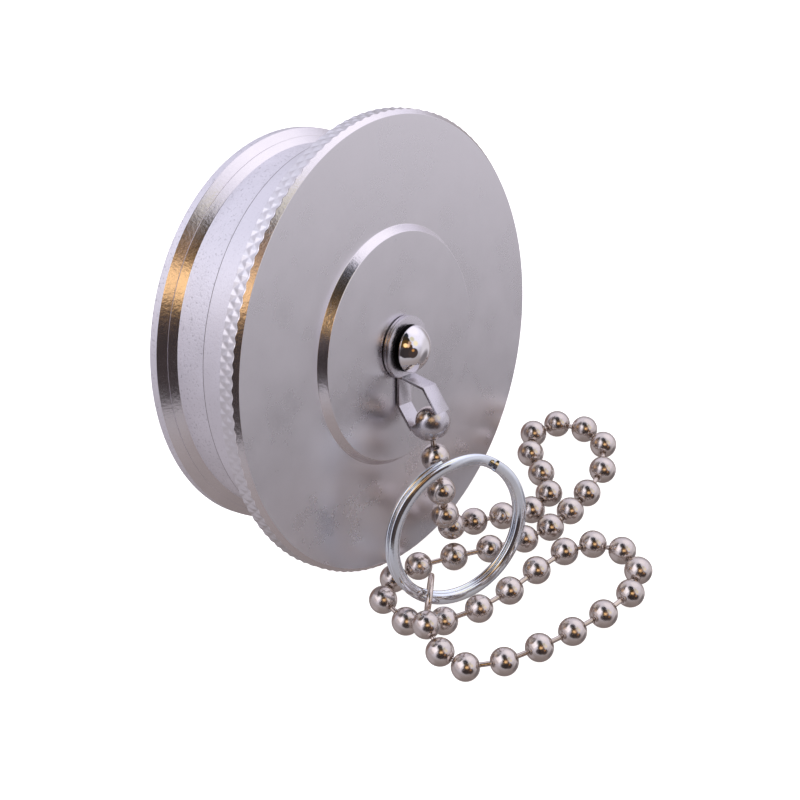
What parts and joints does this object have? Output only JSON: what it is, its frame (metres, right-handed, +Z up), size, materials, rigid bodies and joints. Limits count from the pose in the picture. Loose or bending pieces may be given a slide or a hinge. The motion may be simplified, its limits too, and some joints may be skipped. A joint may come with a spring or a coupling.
{
  "type": "deck fill cap",
  "caption": "Turned metal deck fill cap with a knurled flange, a hollow plug and a ball-chain tether that ends in a split ring.",
  "frame": {"origin": "on the ground under the middle of the cap, without the tether", "axes": "+Z up, the cap's front face towards -Y and tilted up 13.7 degrees, +X to the right as seen from the front"},
  "size_m": [0.0762, 0.0769, 0.0746],
  "materials": {
    "cap_metal": "satin turned",
    "seal_rubber": "matt",
    "rivet_metal": "polished",
    "strap_metal": "satin",
    "bead_metal": "polished",
    "link_metal": "satin",
    "ring_metal": "bright plated"
  },
  "bodies": {
    "cap": {"cap_body": "cap_metal", "flange_seal": "seal_rubber", "rivet_washer": "strap_metal", "chain_rivet": "rivet_metal"},
    "coupling": {"chain_coupling": "strap_metal"},
    "tether": {"captive_bead": "bead_metal", "chain_beads": "bead_metal", "chain_links": "link_metal", "end_bead": "bead_metal"},
    "end_loop": {"end_loop": "link_metal"},
    "split_ring": {"split_ring": "ring_metal"}
  },
  "joints": [
    {"name": "coupling_swivel", "type": "hinge", "parent": "cap", "child": "coupling", "pos_m": [0, -0.01237, 0.03819], "axis": [0, -0.9717, 0.236], "continuous": true},
    {"name": "chain_swing", "type": "hinge", "parent": "coupling", "child": "tether", "pos_m": [-0.00466, -0.01991, 0.02925], "axis": [-0.9135, 0.096, 0.3952], "range_deg": [0, 30]},
    {"name": "loop_swing", "type": "hinge", "parent": "tether", "child": "end_loop", "pos_m": [-0.02272, -0.03021, 0.00483], "axis": [0.5001, -0.8659, 0], "range_deg": [0, 25]},
    {"name": "ring_spin", "type": "hinge", "parent": "end_loop", "child": "split_ring", "pos_m": [-0.01045, -0.0284, 0.01316], "axis": [-0.3769, -0.8807, 0.2869], "continuous": true}
  ]
}
